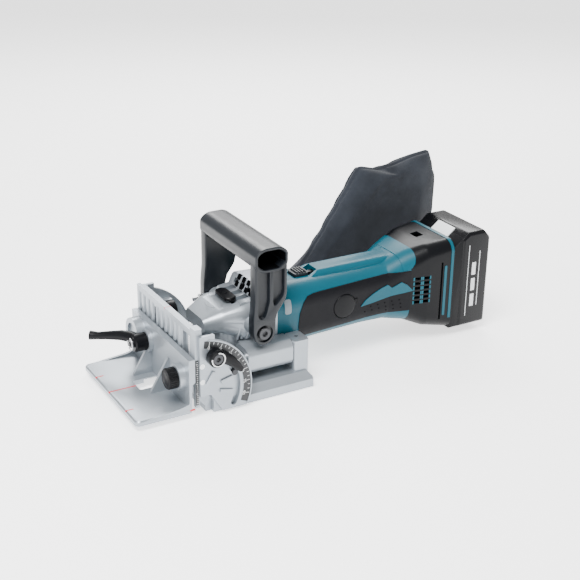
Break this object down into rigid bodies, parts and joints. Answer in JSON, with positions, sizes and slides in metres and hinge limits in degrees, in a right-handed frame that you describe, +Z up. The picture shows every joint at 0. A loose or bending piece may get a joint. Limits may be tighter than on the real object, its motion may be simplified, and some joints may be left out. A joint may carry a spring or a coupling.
{
  "type": "biscuit joiner",
  "caption": "Cordless biscuit joiner: sliding base with tilting guide and rising fence, front D-grip, motor housing, rear battery and cloth dust bag.",
  "frame": {"origin": "where the blade spindle's axis meets the plane of the base's underside, at rest", "axes": "+X towards the battery, along the motor; +Y towards the dust bag; +Z up; the fence points to -X"},
  "size_m": [0.432, 0.1835, 0.1682],
  "materials": {
    "cast_grey": "satin cast",
    "teal_plastic": "satin",
    "black_plastic": "satin",
    "grip_plastic": "semi gloss",
    "black_rubber": "matt",
    "bag_cloth": "woven",
    "steel": "bright",
    "dark_steel": "blackened",
    "copper": "enamelled copper",
    "carbon": "matt",
    "magnet": "matt",
    "white_plastic": "satin",
    "scale_black": "satin",
    "cell_sleeve": "satin"
  },
  "bodies": {
    "base": {"base_housing": "cast_grey", "cover_hinge_pins": "steel", "slide_rods": "steel", "return_springs": "steel", "guide_studs": "dark_steel", "guide_lock_screw": "dark_steel", "dust_nozzle": "black_plastic", "bag_collar": "black_plastic", "dust_bag": "bag_cloth"},
    "bottom_cover": {"bottom_cover": "steel", "cover_screws": "steel"},
    "guide_lock_lever": {"guide_lock_lever": "black_plastic"},
    "depth_drum": {"depth_drum": "black_plastic"},
    "guide": {"guide_plate": "cast_grey", "guide_rack": "steel", "quadrant_left": "cast_grey", "quadrant_right": "cast_grey", "scale_strips": "scale_black", "quadrant_screws": "steel"},
    "fence": {"fence_body": "cast_grey", "fence_clamp_screw": "dark_steel", "fence_clamp_nut": "steel"},
    "fence_knob": {"fence_knob": "black_plastic", "knob_pinion": "steel"},
    "fence_clamp_lever": {"fence_clamp_lever": "black_plastic"},
    "motor_unit": {"gear_housing": "cast_grey", "ball_bearings": "steel", "stop_screw": "steel", "front_grip": "grip_plastic", "grip_bolts": "dark_steel", "shaft_lock_spring": "steel", "motor_housing_left": "teal_plastic", "motor_housing_right": "teal_plastic", "rubber_grips": "black_rubber", "housing_screws": "steel", "rear_flange": "black_plastic", "switch_box": "black_plastic", "terminal_block": "black_plastic", "brush_caps": "black_plastic", "carbon_brushes": "carbon", "motor_yoke": "dark_steel", "field_magnets": "magnet"},
    "switch": {"switch_slider": "grip_plastic", "switch_rod": "black_plastic"},
    "shaft_lock": {"shaft_lock_button": "black_plastic"},
    "armature": {"armature_shaft": "steel", "armature_core": "dark_steel", "armature_windings": "copper", "commutator": "copper", "cooling_fan": "black_plastic", "bevel_pinion": "dark_steel"},
    "spindle": {"spindle": "steel", "bevel_gear": "dark_steel", "inner_flange": "steel", "saw_blade": "steel", "lock_nut": "dark_steel"},
    "battery": {"battery_case": "black_plastic", "battery_cover": "black_plastic", "battery_cells": "cell_sleeve"},
    "battery_button": {"battery_button": "white_plastic"}
  },
  "joints": [
    {"name": "plunge", "type": "slide", "parent": "base", "child": "motor_unit", "axis": [-1, 0, 0], "range_m": [0, 0.026], "stiffness_N_per_m": 400, "springref_m": -0.02, "deforming": ["return_springs"]},
    {"name": "armature_spin", "type": "hinge", "parent": "motor_unit", "child": "armature", "pos_m": [0.034, 0, 0.06], "axis": [1, 0, 0], "continuous": true},
    {"name": "spindle_spin", "type": "hinge", "parent": "motor_unit", "child": "spindle", "pos_m": [0, 0, 0.03], "axis": [0, 0, 1], "continuous": true},
    {"name": "switch_slide", "type": "slide", "parent": "motor_unit", "child": "switch", "axis": [1, 0, 0], "range_m": [0, 0.008]},
    {"name": "shaft_lock_press", "type": "slide", "parent": "motor_unit", "child": "shaft_lock", "axis": [0, 0, -1], "range_m": [0, 0.004], "stiffness_N_per_m": 500, "springref_m": -0.002},
    {"name": "battery_slide", "type": "slide", "parent": "motor_unit", "child": "battery", "axis": [0, 0, 1], "range_m": [0, 0.11]},
    {"name": "battery_release", "type": "slide", "parent": "battery", "child": "battery_button", "axis": [0.6176, 0, -0.7865], "range_m": [0, 0.003], "stiffness_N_per_m": 600, "springref_m": -0.002},
    {"name": "guide_tilt", "type": "hinge", "parent": "base", "child": "guide", "pos_m": [-0.058, 0, 0.025], "axis": [0, -1, 0], "range_deg": [0, 45]},
    {"name": "guide_lock_turn", "type": "hinge", "parent": "base", "child": "guide_lock_lever", "pos_m": [-0.04343, -0.075, 0.06107], "axis": [0, -1, 0], "range_deg": [0, 70]},
    {"name": "depth_drum_turn", "type": "hinge", "parent": "base", "child": "depth_drum", "pos_m": [-0.038, 0.042, 0.06], "axis": [1, 0, 0], "range_deg": [-300, 0]},
    {"name": "cover_swing", "type": "hinge", "parent": "base", "child": "bottom_cover", "pos_m": [0.0565, 0, 0.0027], "axis": [0, -1, 0], "range_deg": [0, 100]},
    {"name": "fence_height", "type": "slide", "parent": "guide", "child": "fence", "axis": [0, 0, 1], "range_m": [0, 0.03]},
    {"name": "fence_knob_turn", "type": "hinge", "parent": "fence", "child": "fence_knob", "pos_m": [-0.076, -0.0486, 0.0367], "axis": [1, 0, 0], "range_deg": [-1, 480]},
    {"name": "fence_clamp_turn", "type": "hinge", "parent": "fence", "child": "fence_clamp_lever", "pos_m": [-0.078, 0.024, 0.0425], "axis": [1, 0, 0], "range_deg": [0, 60]}
  ],
  "couplings": [
    {"joint": "spindle_spin", "follows": "armature_spin", "ratio": 0.25},
    {"joint": "fence_knob_turn", "follows": "fence_height", "rad_per_m": 277.78}
  ]
}
